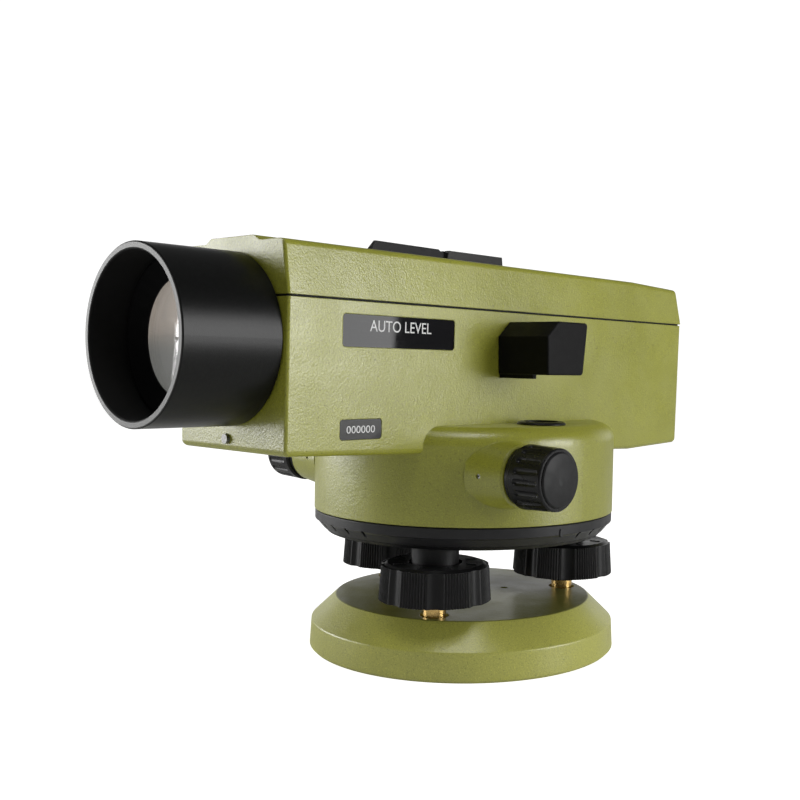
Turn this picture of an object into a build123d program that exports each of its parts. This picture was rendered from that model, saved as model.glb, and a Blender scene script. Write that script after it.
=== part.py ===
"""Automatic surveying level, built as separate pieces in millimetres.

Frame: +Z up, origin on the standing axis at the underside of the base plate. The line of
sight runs along Y: the objective looks towards -Y and the eyepiece faces +Y. The circular
level and its mirror are on the +X side and the focusing knob is on the -X side.
"""
from build123d import *
import os
from math import cos, pi, radians, sin, sqrt

# ---- driving dimensions, millimetres and degrees ----
FIT = 0.02          # gap left between pieces that are fixed to each other
RUN = 0.05          # radial gap of a turning or sliding fit

BASE_R = 65.0
BASE_RIM_R = 64.4
BASE_RIM_Z = 11.5
BASE_TOP_R = 54.2
BASE_TOP_Z = 21.2
BASE_POCKET_R = 55.5
BASE_POCKET_Z = 13.4
BOTTOM_PLATE_R = 56.4
BOTTOM_PLATE_Z = 4.0
TRIPOD_THREAD_R = 7.94      # 5/8 inch tripod thread, modelled as a plain bore

FOOT_CIRCLE_R = 46.0
FOOT_START_DEG = -60.2
FOOT_BALL_R = 6.0
FOOT_BALL_Z = 9.0
STUD_R = 4.6
STUD_TOP_Z = 55.0
KNOB_BOTTOM_Z = 28.2
KNOB_TOP_Z = 42.4
KNOB_BOTTOM_R = 22.1
KNOB_TOP_R = 21.2

TRIBRACH_BOTTOM_Z = 49.2
TRIBRACH_TOP_Z = 57.8
TRIBRACH_R = 57.4
TOWER_R = 20.0
TOWER_TOP_Z = 82.0
RING_TOP_Z = 58.3
RING_R = 63.4

HOUSING_BOTTOM_Z = 58.6
HOUSING_R = 63.7
SHELF_Z = 96.0
SHELF_FILLET = 7.0
WEB_BOTTOM_Z = 87.0
WEB_TOP_Z = 92.0

BODY_FRONT_Y = -118.2
BODY_REAR_Y = 119.8
SEAM_Z = 141.0
SEAM_GAP = 0.8
SEAM_HALF_W = 31.9
BOTTOM_HALF_W = 31.0
BOTTOM_REF_Z = 82.0
WALL = 3.5
COVER_TOP_HALF_W = 29.2
SHOULDER_Z = 159.7
PLATEAU_Z = 161.6
PLATEAU_HALF_W = 12.7
PLATEAU_FOOT_HALF_W = 15.7
SHOULDER_FILLET = 2.6
PLATEAU_FILLET = 3.0
REAR_SLOPE_Y = 83.0
REAR_SLOPE_DROP = 1.4

OPTIC_Z = 126.6
HOOD_R = 30.0
HOOD_BORE_R = 27.4
HOOD_FRONT_Y = -155.4
SPIGOT_R = 28.6
TUBE_R = 22.5
TUBE_BORE_R = 20.5
TUBE_FRONT_Y = -108.0
TUBE_REAR_Y = -26.0

WORM_Y = -32.0
WORM_Z = 78.4
WORM_TIP_R = 4.9
WHEEL_TIP_R = 27.0
WHEEL_TEETH = 90
TANGENT_KNOB_X = 60.4
TANGENT_KNOB_LENGTH = 17.0
FAR_KNOB_SHIFT = 4.3        # the slow-motion knob on the -X side stands this much further out

FOCUS_Y = -68.0
RACK_BOTTOM_Z = 113.0
PINION_R = 2.5
FOCUS_Z = RACK_BOTTOM_Z - PINION_R - 0.2
FOCUS_TRAVEL = 8.0

PENDULUM_Y = 20.0
PIVOT_Z = 147.0

VIAL_X = 44.0
VIAL_Y = -2.4
VIAL_R = 9.9

foot_angles = [FOOT_START_DEG + 120 * k for k in range(3)]
foot_points = [
    (FOOT_CIRCLE_R * cos(radians(a)), FOOT_CIRCLE_R * sin(radians(a))) for a in foot_angles
]
bottom_low = (Align.CENTER, Align.CENTER, Align.MIN)


# ---- small shape helpers ----
def rod_z(radius, z0, z1, x=0.0, y=0.0):
    """Upright cylinder between two heights."""
    return Pos(x, y, z0) * Cylinder(radius, z1 - z0, align=bottom_low)


def rod_x(radius, x0, x1, y, z):
    """Cylinder along X between two stations."""
    return Location((x0, y, z), (0, 90, 0)) * Cylinder(radius, x1 - x0, align=bottom_low)


def rod_y(radius, y0, y1, x=0.0, z=OPTIC_Z):
    """Cylinder along Y between two stations."""
    return Location((x, y0, z), (-90, 0, 0)) * Cylinder(radius, y1 - y0, align=bottom_low)


def block(x0, x1, y0, y1, z0, z1):
    """Box between two corners."""
    return Pos((x0 + x1) / 2, (y0 + y1) / 2, (z0 + z1) / 2) * Box(x1 - x0, y1 - y0, z1 - z0)


def turned(points):
    """Solid of revolution about Z from (radius, height) points."""
    return revolve(make_face(Plane.XZ * Polyline(*points, close=True)), Axis.Z)


def on_sight_line(shape):
    """Moves a piece turned about Z onto the line of sight, with its Z along +Y."""
    return Location((0, 0, OPTIC_Z), (-90, 0, 0)) * shape


def ring_of_points(count, radius, start_deg=0.0):
    """Evenly spaced points on a circle about the origin."""
    steps = [radians(start_deg + 360 * k / count) for k in range(count)]
    return [(radius * cos(a), radius * sin(a)) for a in steps]


def slab_x(points, x0, x1):
    """Prism along X from (y, z) points."""
    face = make_face(Plane.YZ * Polyline(*points, close=True))
    return Pos(x0, 0, 0) * extrude(face, x1 - x0, dir=(1, 0, 0))


def slab_y(points, y0, y1):
    """Prism along Y from (x, z) points."""
    outline = Polyline(*[(x, y0, z) for x, z in points], close=True)
    return extrude(make_face(outline), y1 - y0, dir=(0, 1, 0))


def radial_outline(radius_at, steps):
    """Closed flat face whose edge follows a radius formula of the angle in degrees."""
    angles = [360 * k / steps for k in range(steps)]
    pts = [(radius_at(a) * cos(radians(a)), radius_at(a) * sin(radians(a))) for a in angles]
    return make_face(Polyline(*pts, close=True))


vial_screw_points = ring_of_points(3, VIAL_R - 1.5, 30)


def body_half_width(z):
    """Half width of the drafted lower casting at a height."""
    share = (z - BOTTOM_REF_Z) / (SEAM_Z - BOTTOM_REF_Z)
    return BOTTOM_HALF_W + share * (SEAM_HALF_W - BOTTOM_HALF_W)


def save(name, shape):
    """Writes one sub-part; a list of solids becomes one group."""
    solids = shape if isinstance(shape, list) else [shape]
    parts = [s for item in solids for s in item.solids()]
    export_step(parts[0] if len(parts) == 1 else Compound(children=parts), f"parts/{name}.step")


# ---- base plate group ----
BOSS_R = 4.2
SOCKET_BOSS_R = 10.0
STUD_HOLE_R = 5.75
boss_points = ring_of_points(3, FOOT_CIRCLE_R, FOOT_START_DEG + 60)
HUB_R = 16.0
BUSH_R = 12.0
FLANGE_R = 15.5


def base_plate():
    edge = 1.0
    shell = turned([(0, 0), (BASE_R - edge, 0), (BASE_R, edge), (BASE_RIM_R, BASE_RIM_Z),
                    (BASE_TOP_R, BASE_TOP_Z), (0, BASE_TOP_Z)])
    rims = [e for e in shell.edges() if e.center().Z > BASE_RIM_Z - 1 and e.length > BASE_TOP_R]
    shell = fillet(rims, 0.7)
    shell -= rod_z(BOTTOM_PLATE_R + 0.1, -1, BOTTOM_PLATE_Z + 0.2)
    pocket = rod_z(BASE_POCKET_R, 0, BASE_POCKET_Z) - rod_z(HUB_R, -1, 20)
    for x, y in boss_points:
        pocket -= rod_z(BOSS_R, -1, 20, x, y)
    for x, y in foot_points:
        pocket -= rod_z(SOCKET_BOSS_R, -1, 20, x, y)
    shell -= pocket
    shell -= rod_z(BUSH_R + FIT, -1, 18)
    for x, y in boss_points:
        shell -= rod_z(1.5, 0, 11.5, x, y)
    for x, y in foot_points:
        shell -= rod_z(STUD_HOLE_R, 10, 30, x, y)
        shell -= rod_z(FOOT_BALL_R + 0.2, -1, FOOT_BALL_Z + 2.3, x, y)
    vent_x, vent_y, vent_r = 8.0, 18.0, 1.6
    return shell - rod_z(vent_r, 10, 30, vent_x, vent_y)


def tripod_bush():
    bush = rod_z(BUSH_R, 0, 17) + rod_z(FLANGE_R, 0, BOTTOM_PLATE_Z + 0.1)
    return bush - rod_z(TRIPOD_THREAD_R, -1, 18)


def bottom_plate():
    plate = rod_z(BOTTOM_PLATE_R, 0.4, BOTTOM_PLATE_Z) - rod_z(FLANGE_R + 0.2, -1, 6)
    for x, y in foot_points:
        plate -= Pos(x, y, FOOT_BALL_Z) * Sphere(FOOT_BALL_R + RUN)
    for x, y in boss_points:
        plate -= Pos(x, y, 0) * turned([(0, -1), (3.2, -1), (3.2, 0.6), (1.6, 2.2), (1.6, 5), (0, 5)])
    return plate


def bottom_screws():
    profile = [(0, 0.5), (3.0, 0.5), (3.0, 0.7), (1.4, 2.3), (1.4, 10.5), (0, 10.5)]
    screws = []
    for x, y in boss_points:
        screw = turned(profile) - block(-3.2, 3.2, -0.35, 0.35, 0.3, 1.2)
        screws.append(Pos(x, y, 0) * screw)
    return screws


# ---- foot screws ----
def foot_knob_radius(angle):
    """Grip outline: eight shallow scallops with finely ribbed pads between them."""
    sector = 45.0
    scallop_half = 8.0
    rib_depth = 0.45
    scallop_depth = 1.2
    place = (angle + sector / 2) % sector - sector / 2
    if abs(place) < scallop_half:
        return KNOB_BOTTOM_R - scallop_depth * cos(pi / 2 * place / scallop_half)
    return KNOB_BOTTOM_R - (rib_depth if round(angle / 1.5) % 2 else 0.0)


def foot_knob(x, y):
    grip = radial_outline(foot_knob_radius, 240)
    shoulder = 0.8
    top = KNOB_TOP_Z - shoulder
    upper = grip.scale(KNOB_TOP_R / KNOB_BOTTOM_R)
    knob = loft([Pos(0, 0, KNOB_BOTTOM_Z) * grip, Pos(0, 0, top) * upper], ruled=True)
    knob += turned([(0, top), (KNOB_TOP_R - 1.4, top), (KNOB_TOP_R - 2.6, KNOB_TOP_Z), (0, KNOB_TOP_Z)])
    knob += rod_z(8.5, KNOB_BOTTOM_Z - 3, KNOB_BOTTOM_Z)
    mark = block(12.8, 17.2, -0.35, 0.35, KNOB_TOP_Z - 0.1, KNOB_TOP_Z + 0.3)
    for k in range(8):
        knob += Rot(Z=22.5 + 45 * k) * mark
    knob -= rod_z(10.6, 36.8, KNOB_TOP_Z + 1)
    knob -= rod_z(STUD_R + FIT, 20, 50)
    return Pos(x, y, 0) * knob


def foot_stud(x, y):
    stud = Pos(0, 0, FOOT_BALL_Z) * Sphere(FOOT_BALL_R)
    stud += rod_z(STUD_R, FOOT_BALL_Z, STUD_TOP_Z)
    return Pos(x, y, 0) * stud


# ---- tribrach ----
NECK_R = 9.25
NECK_BOTTOM_Z = 39.6
BUSH_OUT_R = 7.0
AXIS_BUSH_R = 13.0
SPINDLE_R = 9.0
FLOATING_FOOT = 2    # this screw stands in the base while the others tilt with the tribrach
FLOATING_BORE_R = 6.1


def tribrach_body():
    """Round tray that holds the foot screws, with the tower that carries the standing axis."""
    lip_top_z = TRIBRACH_BOTTOM_Z + 1.3
    lip_r, collar_r, collar_top_z = 59.6, 23.5, 70
    body = turned([(0, TRIBRACH_BOTTOM_Z), (lip_r - 1.2, TRIBRACH_BOTTOM_Z), (lip_r, lip_top_z),
                   (TRIBRACH_R, lip_top_z), (TRIBRACH_R, TRIBRACH_TOP_Z), (collar_r, TRIBRACH_TOP_Z),
                   (collar_r, collar_top_z), (TOWER_R, collar_top_z), (TOWER_R, TOWER_TOP_Z),
                   (0, TOWER_TOP_Z)])
    for x, y in foot_points:
        body += rod_z(NECK_R, NECK_BOTTOM_Z, TRIBRACH_BOTTOM_Z + 1, x, y)
    for x, y in foot_points:
        body -= rod_z(BUSH_OUT_R + FIT, 30, 60, x, y)
    body -= rod_z(AXIS_BUSH_R + FIT, 52, 90)
    return body - rod_z(14.2, 40, 54.4)


def foot_bushes():
    bushes = []
    for index, (x, y) in enumerate(foot_points):
        bore = FLOATING_BORE_R if index == FLOATING_FOOT else STUD_R + RUN
        bushes.append(rod_z(BUSH_OUT_R, NECK_BOTTOM_Z, 57.2, x, y) - rod_z(bore, 30, 60, x, y))
    return bushes


def axis_bush():
    return rod_z(AXIS_BUSH_R, 54.5, TOWER_TOP_Z) - rod_z(SPINDLE_R, 50, 90)


def axis_cap():
    return rod_z(14.15, TRIBRACH_BOTTOM_Z + 0.2, TRIBRACH_BOTTOM_Z + 1.8)


def friction_spring():
    return rod_z(23.2, 70.1, 74.2) - rod_z(TOWER_R + 0.3, 60, 80)


def circle_ring():
    """Turning ring with three groups of five grip notches and one raised index pill."""
    inner, bottom_z, bevel_z, edge = TRIBRACH_R + RUN, 50.7, 54.4, 0.4
    ring = turned([(inner, bottom_z), (60.0, bottom_z), (62.5, bevel_z - 0.7), (RING_R, bevel_z),
                   (RING_R, RING_TOP_Z - edge), (RING_R - edge, RING_TOP_Z), (inner, RING_TOP_Z)])
    notch = block(61.0, 66, -0.7, 0.7, 50, bevel_z + 0.2)
    first_group, notch_step = -102.5, 9
    for group in range(3):
        for step in range(-2, 3):
            ring -= Rot(Z=first_group + 120 * group + notch_step * step) * notch
    pill_r, pill_low, pill_high = 0.75, 54.4, 56.2
    root, top = 61.0, RING_R + 0.45
    pill = rod_x(pill_r, root, top, 0, pill_high) + rod_x(pill_r, root, top, 0, pill_low)
    pill += block(root, top, -pill_r, pill_r, pill_low, pill_high)
    return ring + Rot(Z=-10.2) * pill


# ---- alidade castings ----
LID_BOSS_X = 23.4
LID_SCREW_YS = (-103.0, -18.0, 108.0)
lid_points = [(side * LID_BOSS_X, y) for y in LID_SCREW_YS for side in (-1, 1)]
LOWER_TOP_Z = SEAM_Z - SEAM_GAP / 2
COVER_BOTTOM_Z = SEAM_Z + SEAM_GAP / 2
CAVITY_HALF_W = 28.4
BOSS_BASE_X = 44.0
BOSS_BASE_R = 14.9
BOSS_END_R = 11.9
BOSS_END_GAP = 0.5
SET_SCREW_R = 0.9
NAME_PLATE = (-67.9, 130.4, 54.4, 11.2)
SERIAL_PLATE = (-86.0, 96.05, 19.0, 7.0)
PLATE_DEPTH = 1.0
PLATE_THICK = 0.8
FRONT_SCREW_X = -2.0
FRONT_SCREW_Z = 92.0
FRONT_SCREW_R = 1.7
ADJUSTER_R = 4.0
ADJUSTER_Z = 98.0


def side_plane(y, z):
    """Plane on the +X face of the lower casting, leaning with its draft."""
    lean = (SEAM_HALF_W - BOTTOM_HALF_W) / (SEAM_Z - BOTTOM_REF_Z)
    size = sqrt(1 + lean * lean)
    origin = (body_half_width(z), y, z)
    return Plane(origin=origin, x_dir=(0, 1, 0), z_dir=(1 / size, 0, -lean / size))


def plate_blank(spec, depth, start, grow=0.0):
    """Rounded rectangular blank sunk below the +X face."""
    y, z, length, height = spec
    corner = 1.2 + grow
    face = RectangleRounded(length + 2 * grow, height + 2 * grow, corner)
    return extrude(side_plane(y, z).offset(start) * face, depth)


def lower_box():
    """Outside of the telescope part of the lower casting."""
    side = slab_x([(BODY_FRONT_Y, 87.8), (80, 81.3), (BODY_REAR_Y - 0.4, 82.9),
                   (BODY_REAR_Y, LOWER_TOP_Z), (BODY_FRONT_Y, LOWER_TOP_Z)], -40, 40)
    low_z = 78.0
    low, high = body_half_width(low_z), body_half_width(LOWER_TOP_Z)
    across = slab_y([(-low, low_z), (low, low_z), (high, LOWER_TOP_Z), (-high, LOWER_TOP_Z)], -130, 130)
    box = side & across
    front = [e for e in box.edges() if abs(e.tangent_at(0.5).Z) > 0.9 and e.center().Y < -100]
    box = fillet(front, 1.1)
    rear = [e for e in box.edges() if abs(e.tangent_at(0.5).Z) > 0.9 and e.center().Y > 100]
    box = fillet(rear, 2.0)
    under = [e for e in box.edges() if e.center().Z < 90 and e.length > 5]
    return fillet(under, 2.2)


def knob_start(side):
    """Distance from the standing axis to the inner face of a slow-motion knob."""
    return TANGENT_KNOB_X + (FAR_KNOB_SHIFT if side < 0 else 0)


def worm_boss(side):
    """Round boss that carries one end of the worm shaft, with a set-screw hole in its front."""
    length = knob_start(side) - BOSS_END_GAP - BOSS_BASE_X
    lip = 0.8
    boss = turned([(0, 0), (BOSS_BASE_R, 0), (BOSS_END_R, length - lip), (BOSS_END_R - lip, length),
                   (0, length)])
    boss = Location((side * BOSS_BASE_X, WORM_Y, WORM_Z), (0, 90 * side, 0)) * boss
    hole = rod_y(SET_SCREW_R, WORM_Y - BOSS_BASE_R - 1, WORM_Y - BOSS_BASE_R + 2.2, side * 50, WORM_Z)
    return boss - hole


def main_housing():
    drum = rod_z(HOUSING_R, HOUSING_BOTTOM_Z, SHELF_Z)
    drum = fillet(drum.edges().group_by(Axis.Z)[-1], SHELF_FILLET)
    body = lower_box() + drum
    for side in (-1, 1):
        body += worm_boss(side)
    drum_cavity = rod_z(HOUSING_R - 4, 50, WEB_BOTTOM_Z)
    for side in (-1, 1):
        x0, x1 = sorted((side * BOSS_BASE_X, side * 70))
        drum_cavity -= rod_x(10.5, x0, x1, WORM_Y, WORM_Z)
    body -= drum_cavity
    body -= block(-CAVITY_HALF_W, CAVITY_HALF_W, BODY_FRONT_Y + WALL, BODY_REAR_Y - WALL, WEB_TOP_Z, 150)
    body += tube_saddles()
    for x, y in lid_points:
        wall_x = 1.0 if x > 0 else -1.0
        low, high = sorted((x - 3.1 * wall_x, (CAVITY_HALF_W + 1) * wall_x))
        body += block(low, high, y - 3.1, y + 3.1, 137.2, LOWER_TOP_Z)
        body -= rod_z(1.5, 136, 150, x, y)
    body -= rod_y(SPIGOT_R + 0.1, BODY_FRONT_Y - 5, BODY_FRONT_Y + 8)
    body -= rod_y(MOUNT_TUBE_R + 0.1, BODY_REAR_Y - 8, BODY_REAR_Y + 5)
    body -= rod_x(6.02, -70, 70, WORM_Y, WORM_Z)
    body -= rod_x(FOCUS_BUSH_R + FIT, -40, -20, FOCUS_Y, FOCUS_Z)
    for spec in (NAME_PLATE, SERIAL_PLATE):
        body -= plate_blank(spec, 5, -PLATE_DEPTH, 0.15)
    body -= rod_z(VIAL_R - 1.2, WEB_BOTTOM_Z + 1.5, 110, VIAL_X, VIAL_Y)
    for x, y in vial_screw_points:
        body -= rod_z(0.6, SHELF_Z - 3, 110, VIAL_X + x, VIAL_Y + y)
    screw_y1 = BODY_FRONT_Y + 2.5
    body -= rod_y(FRONT_SCREW_R + 0.05, BODY_FRONT_Y - 1, screw_y1, FRONT_SCREW_X, FRONT_SCREW_Z)
    body -= rod_y(ADJUSTER_R + FIT, BODY_REAR_Y - 3.4, BODY_REAR_Y + 5, 0, ADJUSTER_Z)
    return body - rod_z(SPINDLE_STUB_R + FIT, 80, 100)


SADDLE_YS = ((-100.0, -93.0), (-40.0, -33.0))
RETICLE_YS = (80.0, 87.0)


def tube_saddles():
    """Cross webs inside the casting that cradle the telescope tube and the reticle cell."""
    webs = []
    for y0, y1 in SADDLE_YS:
        web = block(-CAVITY_HALF_W - 1, CAVITY_HALF_W + 1, y0, y1, WEB_TOP_Z - 1, OPTIC_Z - 4)
        webs.append(web - rod_y(TUBE_R + FIT, y0 - 1, y1 + 1))
    y0, y1 = RETICLE_YS
    web = block(-CAVITY_HALF_W - 1, CAVITY_HALF_W + 1, y0, y1, WEB_TOP_Z - 1, OPTIC_Z - 4)
    webs.append(web - rod_y(RETICLE_CELL_R + FIT, y0 - 1, y1 + 1))
    return webs


def cover_face(y, drop):
    """Cross-section of the top cover at a station, lowered at the rear."""
    half = [(SEAM_HALF_W, COVER_BOTTOM_Z), (COVER_TOP_HALF_W, SHOULDER_Z - drop),
            (PLATEAU_FOOT_HALF_W, SHOULDER_Z - drop), (PLATEAU_HALF_W, PLATEAU_Z - drop)]
    mirrored = [(-x, z) for x, z in reversed(half)]
    face = make_face(Polyline(*[(x, y, z) for x, z in half + mirrored], close=True))
    top = SHOULDER_Z - drop - 0.01
    shoulders = [v for v in face.vertices() if v.Z > top and abs(v.X) > COVER_TOP_HALF_W - 1]
    face = fillet(shoulders, SHOULDER_FILLET)
    steps = [v for v in face.vertices() if v.Z > top and abs(v.X) < PLATEAU_FOOT_HALF_W + 1]
    return fillet(steps, PLATEAU_FILLET)


def top_cover():
    front = extrude(cover_face(BODY_FRONT_Y, 0), REAR_SLOPE_Y - BODY_FRONT_Y, dir=(0, 1, 0))
    rear = loft([cover_face(REAR_SLOPE_Y, 0), cover_face(BODY_REAR_Y, REAR_SLOPE_DROP)], ruled=True)
    cover = front + rear
    rise = PLATEAU_Z + 1 - COVER_BOTTOM_Z
    draft = (SEAM_HALF_W - COVER_TOP_HALF_W) / (SHOULDER_Z - COVER_BOTTOM_Z)
    cover &= loft([cover_plan(COVER_BOTTOM_Z, 0), cover_plan(PLATEAU_Z + 1, rise * draft)], ruled=True)
    ends = [e for e in cover.edges() if e.center().Z > 155 and abs(e.tangent_at(0.5).X) > 0.9
            and e.center().Y > 100 and e.length > 2]
    cover = fillet(ends, 0.9)
    roof_z = SHOULDER_Z - 2.8
    inner = [(-CAVITY_HALF_W, COVER_BOTTOM_Z - 1), (CAVITY_HALF_W, COVER_BOTTOM_Z - 1), (26, roof_z),
             (-26, roof_z)]
    cover -= slab_y(inner, BODY_FRONT_Y + WALL, BODY_REAR_Y - WALL - 1.5)
    for x, y in lid_points:
        wall_x = 1.0 if x > 0 else -1.0
        low, high = sorted((x - 3.1 * wall_x, (CAVITY_HALF_W - 1.5) * wall_x))
        cover += block(low, high, y - 3.1, y + 3.1, COVER_BOTTOM_Z, roof_z + 0.5)
    for x, y in lid_points:
        cover -= rod_z(1.6, 130, 170, x, y) + rod_z(2.9, lid_head_z(y) - 1.6, 170, x, y)
    return cover - rod_y(SPIGOT_R + 0.1, BODY_FRONT_Y - 5, BODY_FRONT_Y + 8)


def cover_plan(z, shrink):
    """Plan outline of the cover at a height, with rounded corners."""
    margin, corner = 0.05, 1.2
    width = 2 * (SEAM_HALF_W - shrink + margin)
    length = BODY_REAR_Y - BODY_FRONT_Y - shrink * 0.6
    middle = (BODY_REAR_Y + BODY_FRONT_Y - shrink * 0.6) / 2
    return Pos(0, middle, z) * RectangleRounded(width, length, corner)


def lid_head_z(y):
    """Height of the shoulder of the cover at a station along it."""
    fall = max(0.0, (y - REAR_SLOPE_Y) / (BODY_REAR_Y - REAR_SLOPE_Y)) * REAR_SLOPE_DROP
    return SHOULDER_Z - fall


def seam_gasket():
    inset = 0.55
    half = SEAM_HALF_W - inset
    gap = 0.05
    z0, z1 = LOWER_TOP_Z + gap, COVER_BOTTOM_Z - gap
    gasket = block(-half, half, BODY_FRONT_Y + inset, BODY_REAR_Y - inset, z0, z1)
    gasket = fillet(gasket.edges().filter_by(Axis.Z), 2.4)
    gasket -= block(-CAVITY_HALF_W, CAVITY_HALF_W, BODY_FRONT_Y + WALL, BODY_REAR_Y - WALL, 130, 150)
    return gasket - rod_y(SPIGOT_R + 0.1, BODY_FRONT_Y - 5, BODY_FRONT_Y + 8)


def cover_screws():
    screws = []
    for x, y in lid_points:
        top = lid_head_z(y) - 0.2
        screw = rod_z(2.75, top - 1.3, top) + rod_z(1.45, 137.4, top)
        screw -= rod_z(1.25, top - 0.9, top + 1)
        screws.append(Pos(x, y, 0) * screw)
    return screws


# ---- standing axis and slow motion ----
SPINDLE_STUB_R = 10.0


def spindle():
    body = rod_z(SPINDLE_R - RUN, 54.0, 84) + rod_z(17, 83, WEB_BOTTOM_Z - 0.05)
    body += rod_z(SPINDLE_STUB_R, 84, WEB_TOP_Z - 0.1)
    return body - rod_z(3.05, 50, 68)


def spindle_retainer():
    return rod_z(12.2, 52.4, 53.9) + rod_z(3.0, 53, 67)


def worm_wheel():
    root_r = WHEEL_TIP_R - 1.1
    tooth = 360 / WHEEL_TEETH

    def tooth_radius(angle):
        return WHEEL_TIP_R if (angle % tooth) < tooth / 2 else root_r

    thickness = 7.0
    blank = extrude(radial_outline(tooth_radius, WHEEL_TEETH * 4), thickness)
    return Pos(0, 0, WORM_Z - thickness / 2) * blank - rod_z(TOWER_R + RUN, 60, 90)


def worm_shaft():
    reach = TANGENT_KNOB_LENGTH - 4
    shaft = rod_x(3.0, -knob_start(-1) - reach, knob_start(1) + reach, WORM_Y, WORM_Z)
    shaft += rod_x(WORM_TIP_R, -11, 11, WORM_Y, WORM_Z)
    pitch = 2 * pi * (WHEEL_TIP_R - 0.5) / WHEEL_TEETH
    for k in range(-5, 6):
        x = k * pitch
        groove = rod_x(WORM_TIP_R + 1, x - pitch / 4, x + pitch / 4, WORM_Y, WORM_Z)
        shaft -= groove - rod_x(3.9, -20, 20, WORM_Y, WORM_Z)
    return shaft


def worm_bushes():
    bushes = []
    for side in (-1, 1):
        x0, x1 = sorted((side * 45, side * (knob_start(side) - BOSS_END_GAP - 0.2)))
        bushes.append(rod_x(6.0, x0, x1, WORM_Y, WORM_Z) - rod_x(3.0 + RUN, -70, 70, WORM_Y, WORM_Z))
    return bushes


KNOB_CAP_R = 10.2
KNOB_CAP_SEAT = 1.0


def tangent_knob(side):
    """Slow-motion knob with a plain rim and pill-shaped grooves along its grip."""
    length, hub_r, hub_length = TANGENT_KNOB_LENGTH, 11.0, 1.8
    big_r, end_r = 12.2, 11.6
    knob = turned([(0, 0), (hub_r, 0), (hub_r, hub_length), (big_r - 0.7, hub_length),
                   (big_r, hub_length + 0.9), (end_r, length - 0.5), (end_r - 0.5, length), (0, length)])
    groove_r, groove_count, first_angle = 1.5, 18, -6
    start, end = hub_length + 4.3, length - 2.3
    groove = rod_z(groove_r, start, end) + Pos(0, 0, start) * Sphere(groove_r)
    groove += Pos(0, 0, end) * Sphere(groove_r)
    for k in range(groove_count):
        knob -= Rot(Z=first_angle + 360 * k / groove_count) * Pos(big_r + 0.5, 0, 0) * groove
    knob -= rod_z(KNOB_CAP_R + 0.05, length - KNOB_CAP_SEAT, length + 1)
    knob -= rod_z(3.0 + FIT, -1, length - 3.4)
    return Location((side * knob_start(side), WORM_Y, WORM_Z), (0, 90 * side, 0)) * knob


def knob_caps():
    """Slightly domed discs that close the ends of the slow-motion knobs."""
    height, dome_r, edge, edge_z = 2.5, 60.0, 0.45, 1.25
    blank = turned([(0, 0), (KNOB_CAP_R, 0), (KNOB_CAP_R, edge_z), (KNOB_CAP_R - edge, edge_z + edge),
                    (KNOB_CAP_R - edge, height), (0, height)])
    cap = blank & (Pos(0, 0, height - dome_r) * Sphere(dome_r))
    caps = []
    for side in (-1, 1):
        x = side * (knob_start(side) + TANGENT_KNOB_LENGTH - KNOB_CAP_SEAT + 0.05)
        caps.append(Location((x, WORM_Y, WORM_Z), (0, 90 * side, 0)) * cap)
    return caps


# ---- objective and focusing ----
CELL_R = 27.3
CELL_FRONT_Y = -142.0
LENS_SEAT_R = 22.6


def lens(radius, half_edge, front_sag, rear_sag, centre_y):
    """Round lens on the line of sight; a positive sag bulges outwards, a negative one hollows."""
    glass = rod_z(radius, -half_edge - max(front_sag, 0), half_edge + max(rear_sag, 0))
    for sag, end in ((front_sag, -1), (rear_sag, 1)):
        ball_r = (radius ** 2 + sag ** 2) / (2 * abs(sag))
        if sag > 0:
            glass &= Pos(0, 0, end * (half_edge + sag - ball_r)) * Sphere(ball_r)
        else:
            glass -= Pos(0, 0, end * (half_edge + sag + ball_r)) * Sphere(ball_r)
    return Pos(0, centre_y, 0) * on_sight_line(glass)


def lens_hood():
    shoulder_y = BODY_FRONT_Y - 0.3
    inner_y = BODY_FRONT_Y + 7.5
    rim = 0.5
    profile = [(HOOD_BORE_R + rim, HOOD_FRONT_Y), (HOOD_R - rim, HOOD_FRONT_Y), (HOOD_R, HOOD_FRONT_Y + rim),
               (HOOD_R, shoulder_y - rim), (HOOD_R - rim, shoulder_y), (SPIGOT_R, shoulder_y),
               (SPIGOT_R, inner_y), (HOOD_BORE_R, inner_y), (HOOD_BORE_R, HOOD_FRONT_Y + rim)]
    return on_sight_line(turned(profile))


def objective_cell():
    profile = [(26.2, CELL_FRONT_Y), (26.7, CELL_FRONT_Y), (CELL_R, CELL_FRONT_Y + 1.0), (CELL_R, -112),
               (TUBE_BORE_R - FIT, -112), (TUBE_BORE_R - FIT, -101), (18.5, -101), (18.5, -117),
               (LENS_SEAT_R, -117), (LENS_SEAT_R, -137.3), (20.0, -137.8), (20.0, -138.3)]
    return on_sight_line(turned(profile))


def objective_crown():
    return lens(LENS_SEAT_R - 0.05, 2.0, 1.9, 1.9, -135.25)


def objective_flint():
    return lens(LENS_SEAT_R - 0.05, 2.9, -2.0, 0.4, -130.1)


def objective_retainer():
    return rod_y(LENS_SEAT_R - 0.05, -126.9, -122.4) - rod_y(19.5, -130, -118)


def telescope_tube():
    tube = rod_y(TUBE_R, TUBE_FRONT_Y, TUBE_REAR_Y) - rod_y(TUBE_BORE_R, -120, -20)
    reach = FOCUS_TRAVEL + 5.2
    return tube - block(-30, -12, FOCUS_Y - reach, FOCUS_Y + reach, 112, 122.6)


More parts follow.
